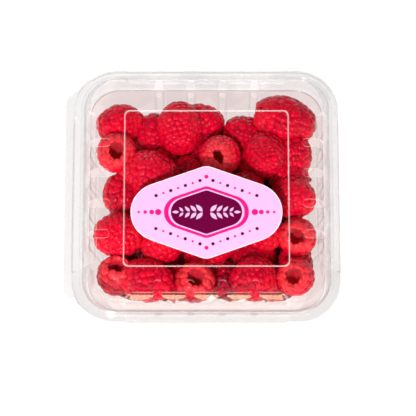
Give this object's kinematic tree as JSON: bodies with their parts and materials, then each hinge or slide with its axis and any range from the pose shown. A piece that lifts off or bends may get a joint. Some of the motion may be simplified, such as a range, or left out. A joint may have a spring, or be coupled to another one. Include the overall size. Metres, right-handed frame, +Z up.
{
  "type": "punnet of raspberries",
  "caption": "Clear square clamshell punnet full of raspberries, with a vented lid on a living hinge and a lozenge label on top.",
  "frame": {"origin": "centre of the box round the whole part, at the underside of the tray floor", "axes": "+Z up through the lid, front (the label side) towards -Y, hinge at -X"},
  "size_m": [0.1286, 0.1244, 0.0462],
  "materials": {
    "tray_plastic": "clear thermoformed sheet",
    "lid_plastic": "clear thermoformed sheet",
    "label": "smooth printed label, pale pink with plum and magenta shapes",
    "berry": "moist ripe raspberry, softly shining"
  },
  "bodies": {
    "base": {"tray": "tray_plastic", "berries": "berry"},
    "cover": {"lid": "lid_plastic", "label": "label"}
  },
  "joints": [
    {"name": "lid_hinge", "type": "hinge", "parent": "base", "child": "cover", "pos_m": [-0.06438, 0, 0.03615], "axis": [0, -1, 0], "range_deg": [0, 180]}
  ]
}
